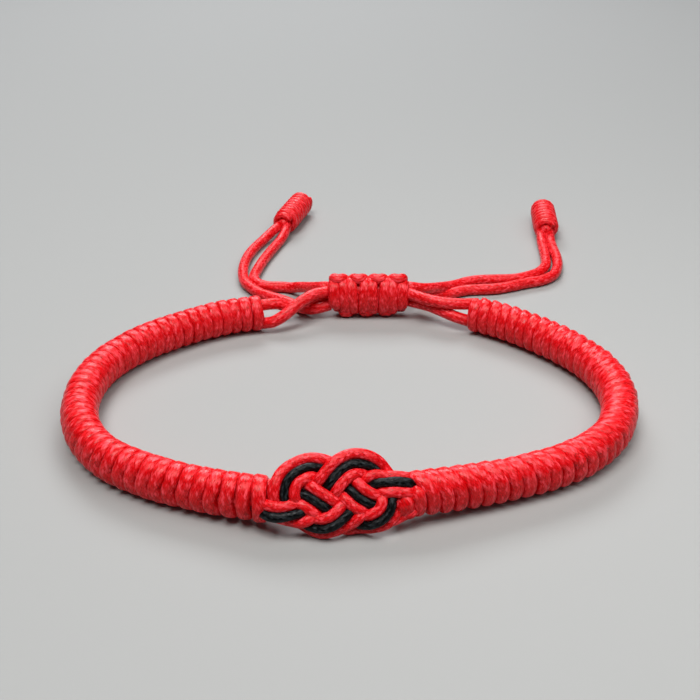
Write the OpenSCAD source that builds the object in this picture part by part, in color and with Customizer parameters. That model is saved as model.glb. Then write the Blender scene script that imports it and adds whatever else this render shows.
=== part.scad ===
// Braided cord bracelet with a two-strand front knot and a sliding closure.
// It lies flat on z = 0, front knot towards -Y, closure towards +Y, +X to the right.

/* [Cords] */
// Diameter of the cord of the closure and its tails
cord_d = 1.5; // [1.2:0.05:1.5]
// Diameter of the red cords in the front knot
knot_red_d = 0.9; // [0.7:0.05:0.9]
// Diameter of the black cords in the front knot
knot_black_d = 0.85; // [0.7:0.05:0.9]

/* [Bands] */
// Width of a woven band, across the loop
band_w = 4.6; // [4.2:0.1:4.8]
// Height of a woven band
band_h = 5.4; // [5:0.1:5.4]
// Wraps of cord along one band
wraps = 46; // [30:1:48]
// Depth of the groove between two wraps
wrap_groove = 0.3; // [0.1:0.05:0.5]

/* [Front knot] */
// Distance between neighbouring cords of a strand
ply_pitch = 0.95; // [0.94:0.01:0.96]
// Height of the upper and lower layers above and below the knot's middle
layer_lift = 0.65; // [0.6:0.01:0.75]
// Angle that the knot leans back from upright
knot_lean = 38; // [30:1:45]
// Angle that the knot is turned about the vertical
knot_turn = 3; // [0:0.5:5]
// Share of its height that the knot's lower half has
low_share = 0.94; // [0.94:0.01:1]

/* [Sliding knot] */
// Length of the sliding knot
slide_l = 12.6; // [11:0.1:13]
// Width of the sliding knot, across the loop
slide_w = 5; // [4.4:0.1:5.4]
// Height of the sliding knot
slide_h = 6.8; // [6:0.1:6.8]
// Square knots in the sliding knot
slide_knots = 4; // [3:1:5]

/* [End knots] */
// Diameter of the end knots
end_d = 4.2; // [3.6:0.1:4.2]
// Turns of cord round an end knot
end_turns = 6; // [4:1:8]

/* [Hidden] */

red = [0.82, 0.08, 0.12];
black = [0.05, 0.05, 0.06];

// Sides of a woven band's section, of a cord, and of an end knot
band_sides = 12;
cord_sides = 8;
end_sides = 12;
// Roundness of a band's and the sliding knot's section: 2 is an ellipse, more is squarer
band_square = 2.1;
slide_square = 2.5;
// Distance between rings along a knot cord and along a loose cord
knot_step = 0.95;
cord_step = 3;

// Centre lines of the bands, from the front knot round to the closure: x, y, z
left_band_route = [
    [-9.6, -25.5, 3.1], [-16, -23.5, 2.8], [-23, -20.7, 2.7], [-29.5, -16.5, 2.7], [-33.8, -10.2, 2.7],
    [-35.5, -2.6, 2.7], [-34.5, 4.9, 2.7], [-30.7, 11.4, 2.7], [-25.2, 16.4, 2.7], [-19.4, 20, 2.7],
    [-13.8, 21.8, 2.7]
];
right_band_route = [
    [6.9, -24.8, 3.1], [14.2, -22.6, 2.8], [21.3, -20.1, 2.7], [27.9, -16.6, 2.7], [33, -11.1, 2.7],
    [35.4, -4, 2.7], [34.9, 3.1, 2.7], [31.9, 9.5, 2.7], [27.4, 14.9, 2.7], [22.8, 19, 2.7],
    [18.6, 21.7, 2.7]
];

// One strand of the front knot, from its band's lower lead to its upper lead, in the knot's plane:
// across, up. The other strand is the same, turned half round.
strand_route = [
    [-8, -1.9], [-7, -2.4], [-5.7, -2.6], [-4.2, -2], [-2.6, -0.5], [-1.6, 1.2], [-0.5, 2.8], [0.8, 3.8],
    [2.5, 4.2], [4.3, 3.7], [5.6, 2.6], [6.3, 0.6], [5.9, -1.6], [4.9, -3], [3.3, -3.7], [1.8, -3.5],
    [0.5, -2.8], [-1, -1.7], [-2.6, -0.5], [-4.2, 0.9], [-6, 1.7], [-7.1, 1.9], [-8, 1.7]
];
// Where the strand crosses: route point, over (1) or under (-1), route point of the strand it meets
// there, and whether that is the other strand (-1) or itself (1)
crossings = [
    [2, 1, 10, -1], [4, -1, 18, 1], [6, 1, 16, -1], [10, -1, 2, -1],
    [12, 1, 20, -1], [16, -1, 6, -1], [18, 1, 4, 1], [20, -1, 12, -1]
];
// Route points from a crossing at which it stops counting, and the width of the met strand looked at
crossing_span = 3.6;
met_span = 2.4;
// Distance over which a crossing lifts or lowers a cord, and how weakly it does so far from any
lift_reach = 0.8;
lift_far = 0.02;
// Points between two route points of the strand
strand_detail = 8;
// Middle of the front knot
knot_at = [-1.2, -26.3, 4.6];
// The lower edge curls back below this height, with this radius
curl_from = -2.4;
curl_r = 4;

// Middle of the sliding knot
slide_at = [2.9, 26.6, 3.45];

// Centre lines of the cords from the bands' ends to the sliding knot: x, y, z
closure_left_low_route = [
    [-13.1, 20.8, 1.5], [-11.8, 20.7, 1.8], [-10, 21.6, 2.2], [-7.9, 23.9, 2.7], [-5.8, 26, 3.05],
    [-3.9, 27.3, 2.95]
];
closure_left_high_route = [
    [-13.8, 22.9, 4], [-11.4, 23.7, 4.2], [-8.7, 24.2, 4.4], [-6, 24.9, 4.45], [-3.8, 25.7, 4.4]
];
closure_right_low_route = [
    [17.7, 21.1, 1.5], [16.2, 21.4, 1.8], [14.4, 22.4, 2.2], [12.4, 24, 2.5], [9.7, 26.1, 2.6]
];
closure_right_high_route = [
    [18.7, 22.9, 4], [16.6, 22.8, 4.25], [14.2, 23.2, 4.4], [11.8, 24.3, 4.45], [9.65, 25.5, 4.4]
];

// Centre lines of the free cords, from the sliding knot to their end knot: x, y, z
tail_left_outer_route = [
    [-3.8, 25.8, 1.8], [-5.3, 25.4, 1.5], [-6.9, 26, 1.1], [-8.9, 28.1, 0.8], [-11, 29.9, 0.75],
    [-13.2, 31.4, 0.75], [-14.9, 32.7, 0.75], [-16.4, 34.5, 0.75], [-17.7, 37.3, 0.75], [-18.5, 41, 0.75],
    [-18.8, 44.7, 0.75], [-18.6, 48.6, 0.75], [-17.9, 52.2, 0.75], [-16.7, 55.5, 1], [-15.3, 58, 1.6],
    [-14.2, 59.4, 2]
];
tail_left_inner_route = [
    [-4.1, 27.5, 4.5], [-5.9, 30, 3.6], [-8.2, 33.9, 1.8], [-10.3, 35.6, 0.9], [-12, 35.8, 0.75],
    [-13.6, 35.7, 0.75], [-15.1, 36.1, 0.75], [-16.2, 37.4, 0.75], [-16.6, 39.3, 0.75], [-16.5, 42, 0.75],
    [-15.9, 45.5, 0.75], [-15.1, 49, 0.75], [-14.3, 52.4, 0.75], [-13.5, 55.5, 1], [-12.9, 57.7, 1.6],
    [-12.6, 59.1, 2]
];
tail_right_outer_route = [
    [9.7, 28.1, 2.9], [11.9, 29.3, 2.15], [14.4, 31.1, 1.2], [17, 33, 0.8], [19.6, 34, 0.75],
    [22.2, 34.1, 0.75], [24.6, 34.4, 0.75], [27.1, 35.5, 0.75], [29.9, 36.9, 0.75], [32.7, 38.1, 0.75],
    [35, 40.4, 0.75], [36.3, 43.9, 0.75], [36.9, 47.6, 0.75], [37.4, 51.2, 0.75], [37.8, 54, 0.9],
    [38.1, 56.4, 1.5], [38.3, 58, 2]
];
tail_right_inner_route = [
    [9.75, 27.4, 4.5], [11.9, 28.9, 3.9], [14.4, 31.9, 2.8], [16.9, 35.3, 1.5], [19.3, 37.7, 0.85],
    [21.9, 38.7, 0.75], [24.8, 38.8, 0.75], [27.7, 38.8, 0.75], [30.2, 39.6, 0.75], [32.5, 41.6, 0.75],
    [34.1, 44.6, 0.75], [35.1, 48, 0.75], [35.7, 51.4, 0.75], [36.1, 54, 0.9], [36.5, 56.4, 1.5],
    [36.65, 58, 2]
];

// Ends of the end knots' middle lines: x, y, z
end_left_line = [[-13.3, 59.8, 2.1], [-10.8, 71.8, 2.1]];
end_right_line = [[37.5, 58.4, 2.1], [38.2, 70.6, 2.1]];

function unit(v) = v / norm(v);

// Point on the smooth curve through a route, at t from 0 to its last index
function spline(route, t) =
    let (
        last = len(route) - 1,
        i = min(floor(t), last - 1),
        f = t - i,
        b = route[i],
        c = route[i + 1],
        a = i > 0 ? route[i - 1] : 2 * b - c,
        d = i < last - 1 ? route[i + 2] : 2 * c - b
    )
    0.5 * (2 * b + (c - a) * f + (2 * a - 5 * b + 4 * c - d) * f * f + (3 * b - a - 3 * c + d) * f * f * f);

// Closely spaced points along a route
function dense(route, per = 10) = [for (k = [0 : (len(route) - 1) * per]) spline(route, k / per)];

// Distance along a row of points, paired with the index
function travel(points) = [
    for (
        k = 0, d = 0;
        k < len(points);
        k = k + 1, d = d + (k < len(points) ? norm(points[k] - points[k - 1]) : 0)
    )
        [d, k]
];

// The same row of points, spaced evenly, in count steps
function evenly(points, count) =
    let (table = travel(points), whole = table[len(table) - 1][0])
    [for (k = [0 : count])
        let (at = lookup(whole * k / count, table), i = min(floor(at), len(points) - 2))
        points[i] + (at - i) * (points[i + 1] - points[i])];

function length_of(points) = travel(points)[len(points) - 1][0];

// Direction of a row of points at index k
function heading(points, k) = unit(points[min(k + 1, len(points) - 1)] - points[max(k - 1, 0)]);

// Outline with the given width, height and squareness
function outline(w, h, sides, square = 2) = [
    for (k = [0 : sides - 1])
        let (
            a = 360 * (k + 0.5) / sides,
            c = cos(a),
            s = sin(a),
            r = pow(pow(abs(c), square) + pow(abs(s), square), -1 / square)
        )
        [w / 2 * c * r, h / 2 * s * r]
];

// Closed solid with one outline at each point of a row, the outlines' own up towards up
module swept(points, outlines, up) {
    n = len(points);
    m = len(outlines[0]);
    rings = [
        for (k = [0 : n - 1])
            let (along = heading(points, k), side = unit(cross(along, up)), top = cross(side, along))
            for (q = outlines[k]) points[k] + q[0] * side + q[1] * top
    ];
    walls = [
        for (k = [0 : n - 2], j = [0 : m - 1])
            let (a = k * m + j, b = k * m + (j + 1) % m)
            each [[a, b, a + m], [b, b + m, a + m]]
    ];
    first = [for (j = [m - 1 : -1 : 0]) j];
    last = [for (j = [0 : m - 1]) (n - 1) * m + j];
    polyhedron(rings, concat([first], walls, [last]), convexity = 6);
}

// Round cord along a row of points
module cord(points, d, up = [0, 0, 1]) {
    section = outline(d, d, cord_sides);
    swept(points, [for (p = points) section], up);
}

// Cord along a route, with a ring about every cord_step
module routed_cord(route) {
    points = dense(route);
    color(red) cord(evenly(points, ceil(length_of(points) / cord_step)), cord_d);
}

// Woven band: crests and grooves of its wraps in turn, its two ends rounded off
module band(route) {
    rings = 2 * wraps;
    end_share = 0.86;
    shares = [
        for (k = [0 : rings])
            k == 0 || k == rings ? end_share : k % 2 == 1 ? 1 : 1 - 2 * wrap_groove / band_h
    ];
    color(red)
        swept(evenly(dense(route), rings),
            [for (s = shares) outline(band_w * s, band_h * s, band_sides, band_square)], [0, 0, 1]);
}

// Axes of the front knot: across, towards the viewer, and up its leaning face
knot_across = [cos(knot_turn), sin(knot_turn), 0];
knot_front = [sin(knot_turn) * cos(knot_lean), -cos(knot_turn) * cos(knot_lean), sin(knot_lean)];
knot_up = cross(knot_front, knot_across);

// Place in space of a point on the knot's curled face, lifted off it by lift
function on_knot(across, up, lift) =
    let (
        v = up < 0 ? up * low_share : up,
        turn = max(0, curl_from - v) / curl_r * 180 / PI,
        rise = max(v, curl_from) - curl_r * sin(turn) - lift * sin(turn),
        out = lift * cos(turn) - curl_r * (1 - cos(turn))
    )
    knot_at + across * knot_across + rise * knot_up + out * knot_front;

strand = dense(strand_route, strand_detail);

// Height off the knot's middle of a point q of its plane, at t along the strand's route
function lift_at(q, t) =
    let (
        near = [for (c = crossings) if (abs(t - c[0]) < crossing_span) c],
        weights = [
            for (c = near)
                let (
                    first = max(0, ceil((c[2] - met_span) * strand_detail)),
                    last = min(len(strand) - 1, floor((c[2] + met_span) * strand_detail)),
                    away = min([for (k = [first : last]) norm(q - c[3] * strand[k])])
                )
                exp(-pow(away / lift_reach, 2) / 2)
        ],
        sides = [for (c = near) c[1]],
        ones = [for (c = near) 1]
    )
    layer_lift * (sides * weights) / (ones * weights + lift_far);

// Centre line of one cord of a strand, ply places beside the strand's middle
function ply_points(ply, half_turn) =
    let (
        sign = half_turn ? -1 : 1,
        moved = [
            for (k = [0 : len(strand) - 1])
                let (
                    ahead = strand[min(k + 1, len(strand) - 1)] - strand[max(k - 1, 0)],
                    q = strand[k] + unit([-ahead[1], ahead[0]]) * ply * ply_pitch
                )
                on_knot(sign * q[0], sign * q[1], lift_at(q, k / strand_detail))
        ]
    )
    evenly(moved, ceil(length_of(moved) / knot_step));

module knot_cord(ply, half_turn) {
    color(ply == 0 ? black : red)
        cord(ply_points(ply, half_turn), ply == 0 ? knot_black_d : knot_red_d, knot_front);
}

// Sliding knot: a bulge for each square knot, drawn in at both ends
module sliding_knot() {
    rings = 2 * slide_knots;
    waist = 0.84;
    points = [for (k = [0 : rings]) slide_at + [slide_l * (k / rings - 0.5), 0, 0]];
    color(red)
        swept(points,
            [for (k = [0 : rings])
                let (s = k % 2 == 1 ? 1 : waist)
                outline(slide_w * s, slide_h * s, band_sides, slide_square)],
            [0, 0, 1]);
}

// End knot: turns of cord round the pair of cords, rounded at both ends
module end_knot(line) {
    rings = 2 * end_turns;
    waist = 0.9;
    tip = 0.6;
    color(red)
        swept([for (k = [0 : rings]) line[0] + (line[1] - line[0]) * k / rings],
            [for (k = [0 : rings])
                let (s = k == 0 || k == rings ? tip : k % 2 == 1 ? 1 : waist)
                outline(end_d * s, end_d * s, end_sides)],
            [0, 0, 1]);
}

band(left_band_route);  // left_band
band(right_band_route);  // right_band
knot_cord(1, false);  // knot_left_red_outer
knot_cord(0, false);  // knot_left_black
knot_cord(-1, false);  // knot_left_red_inner
knot_cord(1, true);  // knot_right_red_outer
knot_cord(0, true);  // knot_right_black
knot_cord(-1, true);  // knot_right_red_inner
sliding_knot();
routed_cord(closure_left_low_route);  // closure_left_low
routed_cord(closure_left_high_route);  // closure_left_high
routed_cord(closure_right_low_route);  // closure_right_low
routed_cord(closure_right_high_route);  // closure_right_high
routed_cord(tail_left_outer_route);  // tail_left_outer
routed_cord(tail_left_inner_route);  // tail_left_inner
routed_cord(tail_right_outer_route);  // tail_right_outer
routed_cord(tail_right_inner_route);  // tail_right_inner
end_knot(end_left_line);  // end_knot_left
end_knot(end_right_line);  // end_knot_right
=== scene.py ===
import math
import random

import bpy
import numpy as np
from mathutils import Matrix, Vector


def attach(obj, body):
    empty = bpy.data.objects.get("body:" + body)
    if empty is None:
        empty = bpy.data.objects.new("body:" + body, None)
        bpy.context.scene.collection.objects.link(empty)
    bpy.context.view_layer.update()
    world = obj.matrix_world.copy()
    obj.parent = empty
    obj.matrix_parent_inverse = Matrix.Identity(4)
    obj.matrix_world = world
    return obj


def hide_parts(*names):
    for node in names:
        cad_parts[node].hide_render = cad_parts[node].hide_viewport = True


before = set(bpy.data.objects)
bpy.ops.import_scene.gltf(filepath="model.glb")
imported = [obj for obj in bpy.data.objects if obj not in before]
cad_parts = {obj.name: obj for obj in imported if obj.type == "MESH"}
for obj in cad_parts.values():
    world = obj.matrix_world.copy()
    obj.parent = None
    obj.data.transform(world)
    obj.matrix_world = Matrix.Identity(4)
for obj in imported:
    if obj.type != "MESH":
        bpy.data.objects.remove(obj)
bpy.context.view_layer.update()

# The bracelet's cords and bands, all in one shared frame. Tables are in millimetres.
MM = 0.001

# Middle lines of the bands, from the front knot round to the closure
LEFT_BAND = [
    (-9, -25.8, 3.35), (-16, -23.5, 2.85), (-23, -20.7, 2.7), (-29.5, -16.5, 2.7), (-33.8, -10.2, 2.7),
    (-35.5, -2.6, 2.7), (-34.5, 4.9, 2.7), (-30.7, 11.4, 2.7), (-25.2, 16.4, 2.7), (-19.4, 20, 2.7),
    (-13.8, 21.8, 2.7)]
RIGHT_BAND = [
    (6.2, -25.1, 3.45), (14.2, -22.6, 2.9), (21.3, -20.1, 2.7), (27.9, -16.6, 2.7), (33, -11.1, 2.7),
    (35.4, -4, 2.7), (34.9, 3.1, 2.7), (31.9, 9.5, 2.7), (27.4, 14.9, 2.7), (22.8, 19, 2.7),
    (18.9, 21.4, 2.7)]

# Cords from the bands' ends to the sliding knot
CLOSURE = {
    "closure_left_low": [
        (-13.1, 20.8, 1.5), (-11.8, 20.6, 1.85), (-10, 21.2, 2.75), (-7.9, 22.9, 3.9), (-5.8, 24.7, 4.45),
        (-3.9, 25.8, 4.45)],
    "closure_left_high": [
        (-13.8, 22.6, 3.7), (-11.4, 23.5, 3.5), (-9.3, 24.3, 2.6), (-6, 26.3, 2.8), (-3.8, 27.2, 2.9)],
    "closure_right_low": [
        (17.7, 21.2, 1.9), (16.2, 21.7, 2.2), (14.4, 22.8, 2.55), (12.4, 24.3, 2.75), (9.7, 26.1, 2.65)],
    "closure_right_high": [
        (18.7, 22.5, 3.95), (16.6, 22.2, 4.1), (14.2, 22.5, 4.2), (11.8, 23.6, 4.25), (9.65, 25.2, 4.3)],
}

# Free cords, from the sliding knot to their end knot
TAILS = {
    "tail_left_outer": [
        (-3.8, 25.8, 2), (-5.3, 25.4, 1.75), (-6.9, 26, 1.35), (-8.9, 28.1, 0.8), (-11, 29.9, 0.75),
        (-13.2, 31.4, 0.75), (-14.9, 32.7, 0.75), (-16.4, 34.5, 0.75), (-17.9, 37.3, 0.75),
        (-18.6, 41, 0.75), (-18.7, 44.8, 0.75), (-18.3, 48.7, 0.75), (-17.4, 52.3, 0.75), (-16.2, 55.6, 1),
        (-14.8, 58, 1.6), (-13.8, 59.4, 2)],
    "tail_left_inner": [
        (-4.1, 27.5, 4.5), (-5.9, 29.7, 3.4), (-8.2, 33.2, 1.8), (-10.3, 34.9, 0.9), (-12, 35.2, 0.75),
        (-13.6, 35.3, 0.75), (-15.1, 36, 0.75), (-16.1, 37.4, 0.75), (-16.5, 39.3, 0.75), (-16.2, 42, 0.75),
        (-15.6, 45.5, 0.75), (-14.8, 49, 0.75), (-13.9, 52.4, 0.75), (-13, 55.5, 1), (-12.3, 57.7, 1.6),
        (-12.1, 59.2, 2)],
    "tail_right_outer": [
        (9.7, 28.1, 2.9), (11.9, 29.3, 2.15), (14.4, 31.1, 1.2), (17, 32.7, 0.8), (19.6, 33.9, 0.75),
        (22.2, 34.2, 0.75), (24.6, 34.5, 0.75), (27.1, 35.4, 0.75), (29.9, 36.7, 0.75), (32.9, 37.9, 0.75),
        (35.2, 40.1, 0.75), (36.5, 43.5, 0.75), (37.1, 47.4, 0.75), (37.2, 51, 0.75), (37.3, 53.8, 0.9),
        (37.4, 56.2, 1.5), (37.6, 58, 2.1)],
    "tail_right_inner": [
        (9.75, 27.4, 4.5), (11.9, 28.6, 3.7), (14.4, 31.3, 2.6), (16.9, 34.5, 1.4), (19.3, 36.8, 0.85),
        (21.9, 37.8, 0.75), (24.8, 38.1, 0.75), (27.7, 38.3, 0.75), (30.2, 39.2, 0.75), (32.8, 41.1, 0.75),
        (34.5, 44.1, 0.75), (35.1, 47.8, 0.75), (35.4, 51.2, 0.75), (35.6, 53.8, 0.9), (35.8, 56.2, 1.5),
        (36.2, 58, 2.1)],
}
# The two ends of each end knot's middle line, and the knots' diameter
END_KNOTS = {
    "end_knot_left": ((-12.8, 59.6, 2.45), (-9.4, 72.9, 2.45)),
    "end_knot_right": ((36.8, 56.5, 2.45), (38.1, 69, 2.45)),
}
END_KNOT_D = 4.8
# Middle of the sliding knot
SLIDE_AT = (2.9, 26.6, 3.45)
# Diameter of the closure cords and the tails
CORD_D = 1.8
# Least height of a cord above the floor
CLEAR = 0.03

# The two strands of the front knot, in its plane: across, up, and the angle by which the cord on the left
# of its way (or the one on the right, where it is below 0) is folded back. Each runs from one lead to the
# other.
STRANDS = {
    "left": [
        (-8, -1.75, -95), (-7, -1.95, -90), (-5.6, -1.8, -60), (-4.2, -1.4, -15), (-2.75, -0.3, 0),
        (-1.6, 1, 0), (-0.5, 2.4, 0), (0.7, 3.45, 0), (2.2, 3.85, 10), (3.9, 3.4, 28), (5.15, 2.05, 38),
        (5.95, 0.5, 30), (5.9, -1.2, 45), (5.1, -2.4, 54), (3.7, -3.1, 74), (2.3, -3.05, 70),
        (0.7, -2.4, 20), (-1, -1.4, 0), (-2.6, -0.35, 0), (-4.1, 0.6, 0), (-5.7, 1.1, 0), (-7, 1.3, 0),
        (-8, 1.2, 0)],
    "right": [
        (8, 1.45, -57), (6.8, 1.62, -57), (5.4, 1.62, -52), (4, 1.45, -30), (2.55, 0.05, 0), (1.4, -1.35, 0),
        (0.3, -2.45, 45), (-0.8, -3.15, 63), (-2.1, -3.4, 68), (-3.6, -3, 80), (-5.1, -2, 80),
        (-6.05, -0.4, 25), (-6.2, 1, 0), (-5.7, 2.3, 15), (-4.6, 3.2, 28), (-3, 3.65, 30), (-0.9, 2.9, 10),
        (0.95, 1.2, 0), (2.4, -0.15, 0), (4.1, -1, 0), (5.6, -1.5, 0), (6.9, -1.6, 0), (8, -1.35, 0)],
}
# Where a strand crosses: at this route point, over (1) or under (-1), the route point of the strand it
# meets there, and whether that is the other strand (-1) or itself (1)
CROSSINGS = [
    (2, 1, 10, -1), (4, -1, 18, 1), (6, 1, 16, -1), (10, -1, 2, -1),
    (12, 1, 20, -1), (16, -1, 6, -1), (18, 1, 4, 1), (20, -1, 12, -1)]
# Middle of the front knot, and the lowest that a cord's middle line goes there
KNOT_AT = (-1.2, -26.5, 4.1)
KNOT_LOW = 0.62

# Distance from one wrap of a band to the next, the thickness of a wrap, and the least height of its middle
WRAP_PITCH = 1.7
WRAP_THICK = 1.15
WRAP_LOW = WRAP_THICK / 2 + 0.08
# How much wider the half hidden wrap before a band's first is
EARLY_WIDE = 1.25
# One wrap of a band, followed down its outer face: angle (90 is its top, 0 its outward side), shift away
# from the front knot in wraps, tilt that raises its far edge, depth below the skin in mm, share of its
# width, and how square its section is
LEFT_WRAP = [
    (256, 0, 0, 0.5, 0.9, 2.2), (240, 0, 0, 0.05, 0.96, 2.4), (215, 0.05, 0, 0, 0.96, 2.4),
    (170, 0.1, 2, 0, 0.94, 3), (130, 0, 2, 0, 0.98, 5), (90, 0, 2, 0, 0.98, 6),
    (58, 0, 4, 0, 0.97, 4.5), (42, 0.03, 12, 0.04, 0.96, 3), (26, 0.12, 28, 0.04, 0.98, 2.4),
    (4, 0.2, 34, 0, 1, 2.2), (-22, 0.16, 28, 0, 1, 2.4), (-52, 0.04, 8, 0, 1, 3),
    (-80, 0, 0, 0, 1, 3.2), (-104, 0, 0, 0.05, 0.96, 2.4), (-120, 0, 0, 0.5, 0.9, 2.2)]
RIGHT_WRAP = [
    (256, 0, 0, 0.5, 0.9, 2.2), (240, 0, 0, 0.05, 0.96, 2.4), (215, 0, 0, 0, 0.96, 2.4),
    (170, 0, 2, 0, 0.94, 3), (128, 0, 4, 0, 0.98, 4.5), (100, 0.12, 8, 0, 0.98, 4.5),
    (62, 0.5, 20, 0, 0.97, 3.2), (34, 0.82, 24, 0, 0.96, 2.6), (14, 0.92, 16, 0.04, 0.94, 2.2),
    (-8, 0.96, 10, 0, 0.95, 2), (-40, 0.96, 3, -0.05, 0.92, 2), (-70, 0.96, 0, 0, 0.9, 2),
    (-104, 0.96, 0, 0.05, 0.92, 2), (-120, 0.96, 0, 0.5, 0.9, 2.2)]


# Curves

def unit(v):
    v = np.asarray(v, float)
    return v / np.linalg.norm(v, axis=-1, keepdims=True)


def spline(route, per=10):
    """Points of the smooth curve through a route, per points from one route point to the next."""
    p = np.asarray(route, float)
    p = np.vstack([2 * p[0] - p[1], p, 2 * p[-1] - p[-2]])
    rows = []
    for i in range(1, len(p) - 2):
        a, b, c, d = p[i - 1:i + 3]
        for f in np.arange(per) / per:
            rows.append(0.5 * (2 * b + (c - a) * f + (2 * a - 5 * b + 4 * c - d) * f ** 2
                               + (3 * b - a - 3 * c + d) * f ** 3))
    rows.append(p[-2])
    return np.array(rows)


def travel(points):
    return np.concatenate([[0], np.cumsum(np.linalg.norm(np.diff(points[:, :3], axis=0), axis=1))])


def evenly(points, step):
    """The same line with a point about every step."""
    along = travel(points)
    at = np.linspace(0, along[-1], max(2, round(along[-1] / step)) + 1)
    return np.stack([np.interp(at, along, points[:, k]) for k in range(points.shape[1])], 1)


def headings(points):
    return unit(np.gradient(points, axis=0))


def ease(x):
    x = np.clip(x, 0, 1)
    return x * x * (3 - 2 * x)


def eased(table, angle):
    """Columns of a table of falling angles, in degrees, read at these angles, smoothly from row to row."""
    rows = np.array(table)[::-1]
    at = np.clip(np.searchsorted(rows[:, 0], angle, side="right") - 1, 0, len(rows) - 2)
    low, high = rows[at], rows[at + 1]
    share = (angle - low[:, 0]) / (high[:, 0] - low[:, 0])
    share = 0.5 * np.clip(share, 0, 1) + 0.5 * ease(share)
    return (low + (high - low) * share[:, None])[:, 1:].T


# Tubes of cord

class Cordage:
    """Tubes of cord joined in one mesh. Its UV map counts the plaits round and along each tube."""

    def __init__(self, plaits_round=32, plait_length=0.33):
        self.plaits_round, self.plait_length = plaits_round, plait_length
        self.verts, self.faces, self.uvs = [], [], []
        self.count = self.tubes = 0

    def tube(self, points, wide, thick, out, sides=12, square=2.0):
        """A tube along points, wide across and thick along out, its direction off the surface it lies on."""
        points = np.asarray(points, float)
        n = len(points)
        along = headings(points)
        out = np.broadcast_to(np.asarray(out, float), points.shape)
        across = unit(np.cross(along, out))
        out = np.cross(across, along)
        wide, thick = np.broadcast_to(wide, n), np.broadcast_to(thick, n)
        angle = 2 * np.pi * (np.arange(sides) + 0.5) / sides
        c, s = np.cos(angle), np.sin(angle)
        square = np.broadcast_to(square, n)[:, None]
        radius = (np.abs(c) ** square + np.abs(s) ** square) ** (-1 / square) / 2
        rings = (points[:, None] + across[:, None] * (c * radius * wide[:, None])[..., None]
                 + out[:, None] * (s * radius * thick[:, None])[..., None])
        tips = [points[0] - along[0] * thick[0] * 0.25, points[-1] + along[-1] * thick[-1] * 0.25]
        v = travel(points) / self.plait_length + 60 * self.tubes
        self.tubes += 1
        u = np.arange(sides + 1) / sides * self.plaits_round
        for k in range(n - 1):
            for j in range(sides):
                i = (j + 1) % sides
                self.faces.append([self.count + q for q in (k * sides + j, k * sides + i,
                                                            (k + 1) * sides + i, (k + 1) * sides + j)])
                self.uvs += [(u[j], v[k]), (u[j + 1], v[k]), (u[j + 1], v[k + 1]), (u[j], v[k + 1])]
        a, b = n * sides, n * sides + 1
        for j in range(sides):
            i = (j + 1) % sides
            middle = (u[j] + u[j + 1]) / 2
            self.faces.append([self.count + q for q in (i, j, a)])
            self.uvs += [(u[j + 1], v[0]), (u[j], v[0]), (middle, v[0] - 1)]
            self.faces.append([self.count + q for q in ((n - 1) * sides + j, (n - 1) * sides + i, b)])
            self.uvs += [(u[j], v[-1]), (u[j + 1], v[-1]), (middle, v[-1] + 1)]
        self.verts.append(np.concatenate([rings.reshape(-1, 3), tips]))
        self.count += n * sides + 2

    def piece(self, name, material, slot, *nodes):
        """The tubes as one piece that stands for these nodes."""
        mesh = bpy.data.meshes.new(name)
        mesh.from_pydata((np.concatenate(self.verts) * MM).tolist(), [], self.faces)
        layer = mesh.uv_layers.new(name="plaits")
        layer.data.foreach_set("uv", np.array(self.uvs, np.float32).ravel())
        mesh.polygons.foreach_set("use_smooth", [True] * len(mesh.polygons))
        mesh.materials.append(material)
        mesh.update()
        piece = bpy.data.objects.new(name, mesh)
        bpy.context.scene.collection.objects.link(piece)
        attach(piece, "root")
        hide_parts(*nodes)
        return piece


# Material of braided cord

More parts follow.
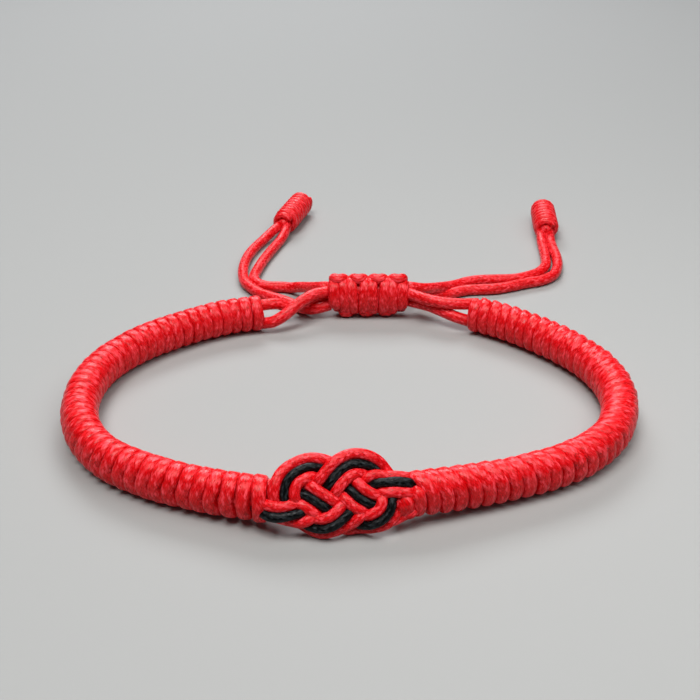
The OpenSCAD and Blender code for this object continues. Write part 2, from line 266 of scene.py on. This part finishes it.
def braided(name, deep, body, painted_glint, rough, specular):
    """Braided cord: plaits over and under each other, with their fibres, from the UV map's plait counts. Its
    colour holds painted glints on scattered plaits and painted shade in the valleys between plaits.
    """
    mat = bpy.data.materials.new(name)
    mat.use_nodes = True
    nodes, links = mat.node_tree.nodes, mat.node_tree.links
    shader = nodes["Principled BSDF"]

    def node(kind, **values):
        made = nodes.new(kind)
        for key, value in values.items():
            setattr(made, key, value)
        return made

    def put(socket, value):
        if isinstance(value, bpy.types.NodeSocket):
            links.new(value, socket)
        else:
            socket.default_value = value

    def calc(op, a, b=0.0, c=0.0):
        made = node("ShaderNodeMath", operation=op)
        for socket, value in zip(made.inputs, (a, b, c)):
            put(socket, value)
        return made.outputs[0]

    def between(a, b, share):
        """a where share is 0, b where it is 1."""
        return calc("MULTIPLY_ADD", calc("SUBTRACT", b, a), share, a)

    def noise(vector, scale, detail):
        made = node("ShaderNodeTexNoise", noise_dimensions="3D")
        links.new(vector, made.inputs["Vector"])
        made.inputs["Scale"].default_value = scale
        made.inputs["Detail"].default_value = detail
        return made.outputs[0]

    uv = node("ShaderNodeUVMap", uv_map="plaits")
    split = node("ShaderNodeSeparateXYZ")
    links.new(uv.outputs[0], split.inputs[0])
    u, v = split.outputs[0], split.outputs[1]
    p = calc("MULTIPLY", calc("ADD", u, v), 0.5)
    q = calc("MULTIPLY", calc("SUBTRACT", u, v), 0.5)
    fp, fq = calc("FRACT", p), calc("FRACT", q)
    odd = calc("PINGPONG", calc("ADD", calc("FLOOR", p), calc("FLOOR", q)), 1.0)
    across, along = between(fp, fq, odd), between(fq, fp, odd)
    crown = calc("POWER", calc("SINE", calc("MULTIPLY", across, math.pi)), 0.5)
    arch = calc("SINE", calc("MULTIPLY", along, math.pi))
    plait = calc("MULTIPLY", crown, calc("MULTIPLY_ADD", arch, 0.6, 0.4))

    fibre_at = node("ShaderNodeCombineXYZ")
    put(fibre_at.inputs[0], calc("MULTIPLY", across, 2.2))
    put(fibre_at.inputs[1], calc("MULTIPLY", along, 0.8))
    put(fibre_at.inputs[2], calc("ADD", calc("FLOOR", p), calc("MULTIPLY", calc("FLOOR", q), 0.37)))
    fibre = noise(fibre_at.outputs[0], 1.0, 1.0)
    place = node("ShaderNodeTexCoord")
    patch = noise(place.outputs["Object"], 450.0, 2.0)
    grain = noise(place.outputs["Object"], 2100.0, 2.0)
    fuzz = noise(place.outputs["Object"], 5200.0, 2.0)
    height = calc("MULTIPLY_ADD", fibre, 0.8, calc("MULTIPLY_ADD", grain, 0.3, calc("MULTIPLY", plait, 0.3)))

    cell = node("ShaderNodeCombineXYZ")
    put(cell.inputs[0], calc("FLOOR", p))
    put(cell.inputs[1], calc("FLOOR", q))
    own = node("ShaderNodeTexWhiteNoise", noise_dimensions="2D")
    links.new(cell.outputs[0], own.inputs["Vector"])
    own = own.outputs["Value"]

    # The ramp's low deep colour, reached in the valleys between plaits and on dark fibres, is partly painted
    # shade between the plaits and partly the fibres' own random tone.
    ramp = node("ShaderNodeValToRGB")
    ramp.color_ramp.elements[0].position = 0.2
    ramp.color_ramp.elements[0].color = (*deep, 1)
    ramp.color_ramp.elements[1].position = 0.8
    ramp.color_ramp.elements[1].color = (*painted_glint, 1)
    ramp.color_ramp.elements.new(0.42).color = (*body, 1)
    # Sparse random plaits (own to the fourth power) take the ramp's brightest colour: painted glints on the
    # cord.
    tone = calc("MULTIPLY_ADD", calc("POWER", own, 4.0), 0.38, calc("MULTIPLY", plait, 0.12))
    tone = calc("MULTIPLY_ADD", patch, 0.08, calc("MULTIPLY_ADD", fuzz, 0.15, tone))
    tone = calc("MULTIPLY_ADD", fibre, 0.68, calc("SUBTRACT", tone, 0.15))
    put(ramp.inputs[0], tone)
    links.new(ramp.outputs[0], shader.inputs["Base Color"])

    put(shader.inputs["Roughness"], calc("MULTIPLY_ADD", own, 0.25, rough))
    shader.inputs["Specular IOR Level"].default_value = specular

    bump = node("ShaderNodeBump")
    bump.inputs["Strength"].default_value = 1.0
    bump.inputs["Distance"].default_value = 0.000035
    put(bump.inputs["Height"], height)
    links.new(bump.outputs[0], shader.inputs["Normal"])
    return mat


# The brightest colour of each cord is its painted glint.
RED = braided("red_cord", deep=(0.4, 0.0008, 0.0015), body=(0.74, 0.002, 0.005), painted_glint=(1, 0.075, 0.1),
              rough=0.22, specular=0.24)
BLACK = braided("black_cord", deep=(0.0004, 0.0006, 0.0008), body=(0.001, 0.0015, 0.0018),
                painted_glint=(0.028, 0.034, 0.038), rough=0.22, specular=0.14)


# Camera, at the photo's angle to the bracelet, with its focal length and the photo's width in pixels

CAMERA_AT = (0, -0.1115, 0.06975)
LOOKS_DOWN = 28.9
FOCAL_PIXELS, PHOTO_PIXELS = 960, 700
SENSOR = 36

camera = bpy.data.objects.new("camera", bpy.data.cameras.new("camera"))
bpy.context.scene.collection.objects.link(camera)
camera.location = CAMERA_AT
camera.rotation_euler = (math.radians(90 - LOOKS_DOWN), 0, 0)
camera.data.sensor_fit = "HORIZONTAL"
camera.data.sensor_width = SENSOR
camera.data.lens = SENSOR * FOCAL_PIXELS / PHOTO_PIXELS
camera.data.clip_start = 0.005
bpy.context.scene.camera = camera


# Free cords and closure cords

def cord_piece(node, route, lead_in, lead_out=0.8):
    """The piece and the points of a cord along its route, carried on straight into what holds its ends."""
    points = evenly(spline(route), 0.4)
    points[:, 2] = np.maximum(points[:, 2], CORD_D / 2 + CLEAR)
    head = headings(points)
    points = np.vstack([points[0] - head[0] * lead_in, points, points[-1] + head[-1] * lead_out])
    cordage = Cordage()
    cordage.tube(points, CORD_D, CORD_D, (0, 0, 1), sides=16)
    return cordage.piece(node + "_cord", RED, "cord_red", node), points


tails = {node: cord_piece(node, route, lead_in=0.6) for node, route in TAILS.items()}
for node, route in CLOSURE.items():
    cord_piece(node, route, lead_in=1.2)


# End knots

def end_knot(node, line, thick=1.2, wide=1.5, spacing=1.4, drawn_in=2.4, core_d=2.8):
    """Turns of cord wound round the pair of tails, drawn in at both ends."""
    a, b = np.array(line, float)
    axis = unit(b - a)
    length = np.linalg.norm(b - a)
    side = unit(np.cross(axis, (0, 0, 1)))
    up = np.cross(side, axis)
    turns = round((length - wide) / spacing)
    t = np.linspace(0, 1, turns * 14 + 1)
    x = wide / 2 + (length - wide) * t
    edge = np.minimum(x, length - x) / drawn_in
    taper = np.sqrt(np.clip(1 - (1 - edge) ** 2 * 0.6, 0, 1))
    reach = (END_KNOT_D - thick) / 2 * np.where(edge < 1, taper, 1)
    angle = 2 * np.pi * turns * t + 0.6
    out = np.cos(angle)[:, None] * side + np.sin(angle)[:, None] * up
    cordage = Cordage()
    cordage.tube(a + x[:, None] * axis + out * reach[:, None], wide, thick, out)
    core = np.linspace(0.1, length - 0.2, 12)
    size = core_d * np.sqrt(np.clip(1 - ((core / length - 0.5) / 0.56) ** 4, 0.1, 1))
    cordage.tube(a + core[:, None] * axis, size, size, (0, 0, 1), sides=14)
    return cordage.piece(node + "_turns", RED, "cord_red", node)


end_pieces = {node: end_knot(node, line) for node, line in END_KNOTS.items()}

for node, (piece, points) in tails.items():
    end = end_pieces["end_knot_left" if "left" in node else "end_knot_right"]


# Woven bands

class Band:
    """A band's middle line, with its outward side, and the points of its skin."""

    def __init__(self, route, width=4.7, height=5.4, square=2.1):
        self.points = evenly(spline(route, 20), 0.25)
        self.along = travel(self.points)
        self.length = self.along[-1]
        self.heads = headings(self.points)
        self.width, self.height, self.square = width, height, square

    def at(self, s):
        """Middle, outward side and heading at these distances along, also a little past the ends."""
        inside = np.clip(s, 0, self.length)
        pick = lambda rows: np.stack([np.interp(inside, self.along, rows[:, k]) for k in range(3)], 1)
        middle, head = pick(self.points), unit(pick(self.heads))
        middle = middle + head * (s - inside)[:, None]
        side = unit(np.cross(head, (0, 0, 1)))
        return middle, side * np.sign((side * middle).sum(1))[:, None], head

    def skin(self, s, angle, depth, size):
        """Points at angle (0 outward, 90 degrees up) and depth below the skin, their outward direction and
        the band's heading. Where size is over 1, the band grows upward only."""
        middle, side, head = self.at(s)
        c, u = np.cos(angle), np.sin(angle)
        reach = ((np.abs(c) / (self.width / 2)) ** self.square
                 + (np.abs(u) / (self.height / 2)) ** self.square) ** (-1 / self.square)
        out = c[:, None] * side + u[:, None] * np.array([0, 0, 1])
        rise = np.maximum(size - 1, 0)[:, None] * (0, 0, self.height / 2)
        return middle + rise + out * (reach * size - depth)[:, None], out, head


LEFT, RIGHT = Band(LEFT_BAND), Band(RIGHT_BAND)


def woven_band(node, band, table, first, upright, starts, sizes, seed):
    """One wrap after another round the core, each shaped by the table. The first is this far in, and the
    first few may stand upright. Starts are how far from the band's end the wraps keep on top and below, and
    how deep they sink there. Sizes give the band's size at distances along."""
    start_top, start_low, start_sink = starts
    dice = random.Random(seed)
    wraps = round((band.length - first) / WRAP_PITCH)
    pitch = (band.length - first) / wraps
    cordage = Cordage()
    for k in range(-2, wraps):
        angle = np.linspace(table[0][0], table[-1][0], 64)
        shift, tilt, sink, share, square = eased(table, angle)
        shift = shift * (min(1, max(0, k / upright)) if upright else 1)
        s = first + (k + 0.5 + shift + dice.uniform(-0.04, 0.04)) * pitch
        if upright:
            s = s - 0.6 * np.cos(np.radians(angle)) * (1 - ease(k / 4))
        nearest = start_low + (start_top - start_low) * ease((angle - 5) / 45)
        sink = sink + start_sink * (1 - ease((s - nearest) / 0.9))
        keep = (s > nearest) & (s < band.length - 0.3 * pitch)
        if keep.sum() < 8:
            continue
        angle, tilt, sink, share, square, s = (row[keep] for row in (angle, tilt, sink, share, square, s))
        depth = WRAP_THICK / 2 + sink + dice.uniform(-0.04, 0.03)
        points, out, head = band.skin(s, np.radians(angle), depth, np.interp(s, *np.transpose(sizes)))
        points[:, 2] = np.maximum(points[:, 2], WRAP_LOW)
        tilt = np.radians(tilt + dice.uniform(-3, 3))[:, None]
        out = out * np.cos(tilt) - head * np.sin(tilt)
        wide = pitch * share * dice.uniform(0.98, 1.02) * (EARLY_WIDE if k < -1 else 1)
        cordage.tube(points, wide, WRAP_THICK, out, sides=16, square=square)
    s = np.linspace(0.6, band.length - 0.6, 90)
    cordage.tube(band.at(s)[0], 3.1, 3.8, (0, 0, 1), sides=16)
    return cordage.piece(node + "_wraps", RED, "cord_red", node)


woven_band("left_band", LEFT, LEFT_WRAP, first=0.25, upright=2, starts=(-0.8, -0.8, 1.2),
           sizes=((0, 1.01), (5, 1), (50, 1), (70, 1.03), (95, 1.03)), seed=3)
woven_band("right_band", RIGHT, RIGHT_WRAP, first=0.3, upright=0, starts=(0.2, -1.5, 2.2),
           sizes=((0, 0.99), (12, 0.96), (30, 0.97), (42, 1.05), (95, 1.04)), seed=5)


# Front knot

def knot_axes(lean=38.0, turn=3.0):
    """The knot's directions: across, out of its front, and up in its plane, which leans and is turned."""
    lean, turn = math.radians(lean), math.radians(turn)
    across = np.array([math.cos(turn), math.sin(turn), 0])
    front = np.array([math.sin(turn) * math.cos(lean), -math.cos(turn) * math.cos(lean), math.sin(lean)])
    return across, front, np.cross(front, across)


def on_knot(flat, lift):
    """Points of the knot's plane, lifted off it, in space."""
    across, front, up = knot_axes()
    return np.array(KNOT_AT) + flat[:, :1] * across + flat[:, 1:2] * up + lift[:, None] * front


def knot_cords(strand, pitch=1.13, lift=0.55, reach=0.8, far=0.02, per=12, scale=0.972,
               met_span=2.4, crossing_span=3.6, gather_at=20.2):
    """Plane points and lifts of the three cords of a strand. Each crossing lifts or lowers a cord over this
    reach, and weakly where it is far off. Spans are how many route points from a crossing still count."""
    middles = {name: spline(route, per)[:, :2] * scale for name, route in STRANDS.items()}
    fold = np.radians(spline(STRANDS[strand], per)[:, 2])
    middle = middles[strand]
    other = middles["right" if strand == "left" else "left"]
    beside = unit(np.gradient(middle, axis=0))[:, ::-1] * (-1, 1)
    at = np.arange(len(middle)) / per
    gather = ease((at - gather_at) / 1.2)
    cords = {}
    for ply in (1, 0, -1):
        offset = beside * ply
        turn = np.clip(fold * ply, 0, None)
        flat = middle + offset * (pitch * np.cos(turn) * (1 - 0.5 * gather))[:, None]
        pull, weight = 0, far
        for here, side, there, owner in CROSSINGS:
            first = max(0, round((there - met_span) * per))
            met = (middle if owner > 0 else other)[first:round((there + met_span) * per) + 1]
            away = np.linalg.norm(flat[:, None] - met[None], axis=2).min(1)
            w = np.where(np.abs(at - here) < crossing_span, np.exp(-(away / reach) ** 2 / 2), 0)
            pull, weight = pull + side * w, weight + w
        sunk = pitch * np.sin(turn) * 0.95 + (1 if ply == 0 else 0.25) * gather
        cords[ply] = (flat, lift * pull / weight - sunk)
    return cords


def lead_into(band, point, *stations):
    """Points that carry a knot cord on into the band's end, each at a depth and a share of its distance
    off the band's middle."""
    middle, _, head = band.at(np.array([0] + [depth for depth, share in stations], float))
    offset = point - middle[0]
    offset = offset - head[0] * offset.dot(head[0])
    return [middle[k + 1] + offset * share for k, (depth, share) in enumerate(stations)]


# Each strand's band, and the depths and shares by which its first lead goes into it
LEADS = {
    "left": (LEFT, ((0.3, 0.8), (1.2, 0.58), (2.6, 0.35))),
    "right": (RIGHT, ((0.6, 0.78), (1.4, 0.58), (2.8, 0.35)))}
for strand, (band_in, stations) in LEADS.items():
    for ply, (flat, lift) in knot_cords(strand).items():
        points = on_knot(flat, lift)
        start = lead_into(band_in, points[0], *stations)[::-1]
        end = lead_into(band_in, points[-1], (2.4, 0.4))
        line = evenly(spline(np.vstack([start, points[::2], end]), 3), 0.25)
        line[:, 2] = np.maximum(line[:, 2], KNOT_LOW)
        black = ply == 0
        slack = 1 - ease((travel(line) - 4) / 3)
        wide = 1 + 0.2 * slack if black else 1.3
        cordage = Cordage(24, 0.3)
        cordage.tube(line, wide, 0.9 if black else 1.05, knot_axes()[1], sides=16)
        node = "knot_%s_%s" % (strand, "black" if black else "red_outer" if ply == 1 else "red_inner")
        cordage.piece(node + "_cord", BLACK if black else RED, "cord_black" if black else "cord_red", node)


# Sliding knot

def sliding_knot():
    """Square knots: one cord goes up and down over the front, the other loops over it at the edges."""
    half_w, half_h, count, length = 2.5, 3.4, 8, 12.6
    h = length / count
    x0 = SLIDE_AT[0] - length / 2
    cordage = Cordage()

    def lay(rows, wide, thick, square=2):
        """A cord round the knot through rows of x, angle (0 in front, 90 on top) and depth in the skin."""
        x, angle, depth = np.array(rows).T
        angle = np.radians(angle)
        x = np.clip(x, x0 + wide / 2, x0 + length - wide / 2)
        c, u = np.cos(angle), np.sin(angle)
        reach = 1 / np.sqrt((c / half_w) ** 2 + (u / half_h) ** 2) - thick / 2 - depth
        out = np.stack([0 * x, -c, u], 1)
        points = np.stack([x, SLIDE_AT[1] - c * reach, SLIDE_AT[2] + u * reach], 1)
        line = evenly(np.hstack([spline(points, 2), spline(out, 2)]), 0.3)
        line[:, 2] = np.maximum(line[:, 2], thick / 2 + CLEAR)
        cordage.tube(line[:, :3], wide, thick, unit(line[:, 3:]), sides=16, square=square)

    # The bars over the front and the back, each with its own lean
    for k, lean in enumerate((-0.8, -0.25, -0.2, 0.1, -0.1, 0.1, 0, 0.35)):
        at_end = k in (0, count - 1)
        closer = 0.1 * h * (0 if at_end else 1 if k % 2 else -1)
        sink = 0.7 if at_end else 0.1
        for face in (0, 180):
            rows = []
            for a in np.linspace(92, -92, 15):
                x = x0 + h * (k + 0.5) + closer + lean * math.sin(math.radians(face + a))
                depth = 0.15 + sink * (ease(-(a + 20) / 50) + 0.5 * ease((a - 50) / 40))
                rows.append((x, face + a, depth))
            lay(rows, h * 1.12, 1.35, square=3.2)
    # The loops over the bars at the top edge, then at the bottom one
    t = np.linspace(0, 1, 13)
    bow = np.sin(np.pi * t)
    for k in range(1, count, 2):
        x = x0 + h * (k + 1.7 * (t - 0.5))
        lay(np.stack([x, 134 - 52 * bow, 0.1 - 0.5 * bow], 1), 1.75, 1.5)
    for k in range(2, count, 2):
        x = x0 + h * (k - 0.2 + 1.5 * (t - 0.5))
        lay(np.stack([x, -132 + 66 * bow, 0.15 - (0.52 - 0.06 * k) * bow], 1), 1.5, 1.4)
    core = np.linspace(x0 + 0.5, x0 + length - 0.5, 10)
    middle = np.stack([core, 0 * core + SLIDE_AT[1], 0 * core + SLIDE_AT[2]], 1)
    cordage.tube(middle, 3.2, 4.4, (0, 0, 1), sides=16)
    return cordage.piece("sliding_knot_cords", RED, "cord_red", "sliding_knot")


sliding_knot()


# Floor and light

def plain_floor():
    mesh = bpy.data.meshes.new("floor")
    mesh.from_pydata([(-3, -2, 0), (3, -2, 0), (3, 4, 0), (-3, 4, 0)], [], [(0, 1, 2, 3)])
    mat = bpy.data.materials.new("floor")
    mat.use_nodes = True
    shader = mat.node_tree.nodes["Principled BSDF"]
    shader.inputs["Base Color"].default_value = (0.34, 0.34, 0.33, 1)
    shader.inputs["Roughness"].default_value = 0.9
    mesh.materials.append(mat)
    floor = bpy.data.objects.new("floor", mesh)
    bpy.context.scene.collection.objects.link(floor)


def area_light(name, place, aim, size, power, colour=(1, 1, 1)):
    lamp = bpy.data.lights.new(name, "AREA")
    lamp.shape = "RECTANGLE"
    lamp.size, lamp.size_y = size
    lamp.energy = power
    lamp.color = colour
    light = bpy.data.objects.new(name, lamp)
    light.location = place
    light.rotation_euler = (Vector(place) - Vector(aim)).to_track_quat("Z", "Y").to_euler()
    bpy.context.scene.collection.objects.link(light)


plain_floor()
world = bpy.data.worlds.new("world")
world.use_nodes = True
world.node_tree.nodes["Background"].inputs[0].default_value = (0.92, 0.96, 1, 1)
world.node_tree.nodes["Background"].inputs[1].default_value = 0.06
bpy.context.scene.world = world
area_light("key", (-0.1, -0.12, 0.5), (0, 0, 0), (0.26, 0.26), 2.2)
area_light("fill", (0.3, -0.1, 0.4), (0, 0, 0), (0.3, 0.3), 0.35)
area_light("inner", (0.05, -0.03, 0.13), (-0.035, 0.02, 0), (0.1, 0.1), 0.08)
area_light("back", (-0.05, 0.5, 0.45), (0, 0, 0), (0.4, 0.25), 3.6, (0.94, 0.96, 1))
bpy.context.scene.view_settings.view_transform = "Standard"
